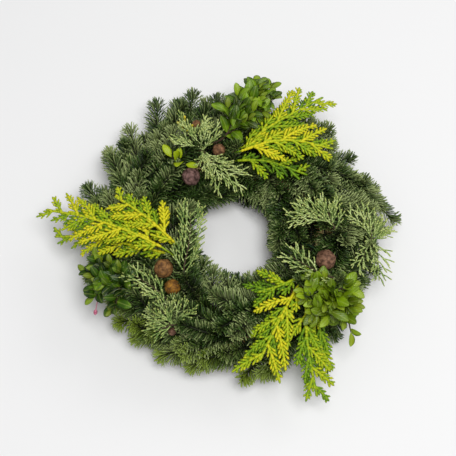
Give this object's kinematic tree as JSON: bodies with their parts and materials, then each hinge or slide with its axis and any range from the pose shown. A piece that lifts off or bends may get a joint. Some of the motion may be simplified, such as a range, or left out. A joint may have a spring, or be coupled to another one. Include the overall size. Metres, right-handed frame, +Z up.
{
  "type": "fresh evergreen wreath",
  "caption": "Round wreath of fresh fir bound on a straw ring, with clusters of golden cypress, glossy small-leaved evergreen, grey juniper and round cypress cones.",
  "frame": {"origin": "middle of the overall box at the level of the surface the wreath lies on", "axes": "+Z up out of the surface through the hole, +X to the right and +Y to the top of the wreath as seen in the picture; the long golden frond reaches towards -X"},
  "size_m": [0.326, 0.3048, 0.0863],
  "materials": {
    "straw": "matte",
    "binding_wire": "satin",
    "fir_needles": "satin",
    "golden_cypress": "matte",
    "glossy_leaves": "glossy",
    "grey_juniper": "matte",
    "cone_scales": "matte"
  },
  "bodies": {
    "root": {"binding_wire": "binding_wire", "cone_01": "cone_scales", "cone_02": "cone_scales", "cone_03": "cone_scales", "cone_04": "cone_scales", "cone_05": "cone_scales", "cone_06": "cone_scales", "cone_07": "cone_scales", "cypress_01": "golden_cypress", "cypress_02": "golden_cypress", "cypress_03": "golden_cypress", "cypress_04": "golden_cypress", "cypress_05": "golden_cypress", "cypress_06": "golden_cypress", "cypress_07": "golden_cypress", "cypress_08": "golden_cypress", "cypress_09": "golden_cypress", "cypress_10": "golden_cypress", "cypress_11": "golden_cypress", "fir_crest_03": "fir_needles", "fir_crest_06": "fir_needles", "fir_crest_08": "fir_needles", "fir_crest_11": "fir_needles", "fir_inner_02": "fir_needles", "fir_inner_04": "fir_needles", "fir_inner_06": "fir_needles", "fir_inner_09": "fir_needles", "fir_inner_11": "fir_needles", "fir_outer_01": "fir_needles", "fir_outer_02": "fir_needles", "fir_outer_03": "fir_needles", "fir_outer_04": "fir_needles", "fir_outer_05": "fir_needles", "fir_outer_06": "fir_needles", "fir_outer_07": "fir_needles", "fir_outer_08": "fir_needles", "fir_outer_09": "fir_needles", "fir_outer_10": "fir_needles", "fir_outer_11": "fir_needles", "fir_outer_12": "fir_needles", "fir_shoulder_01": "fir_needles", "fir_shoulder_02": "fir_needles", "fir_shoulder_04": "fir_needles", "fir_shoulder_05": "fir_needles", "fir_shoulder_07": "fir_needles", "fir_shoulder_09": "fir_needles", "fir_shoulder_10": "fir_needles", "juniper_01": "grey_juniper", "juniper_02": "grey_juniper", "juniper_03": "grey_juniper", "juniper_04": "grey_juniper", "juniper_05": "grey_juniper", "juniper_06": "grey_juniper", "juniper_07": "grey_juniper", "juniper_08": "grey_juniper", "leafy_01": "glossy_leaves", "leafy_02": "glossy_leaves", "leafy_03": "glossy_leaves", "leafy_04": "glossy_leaves", "straw_ring": "straw"}
  },
  "joints": []
}
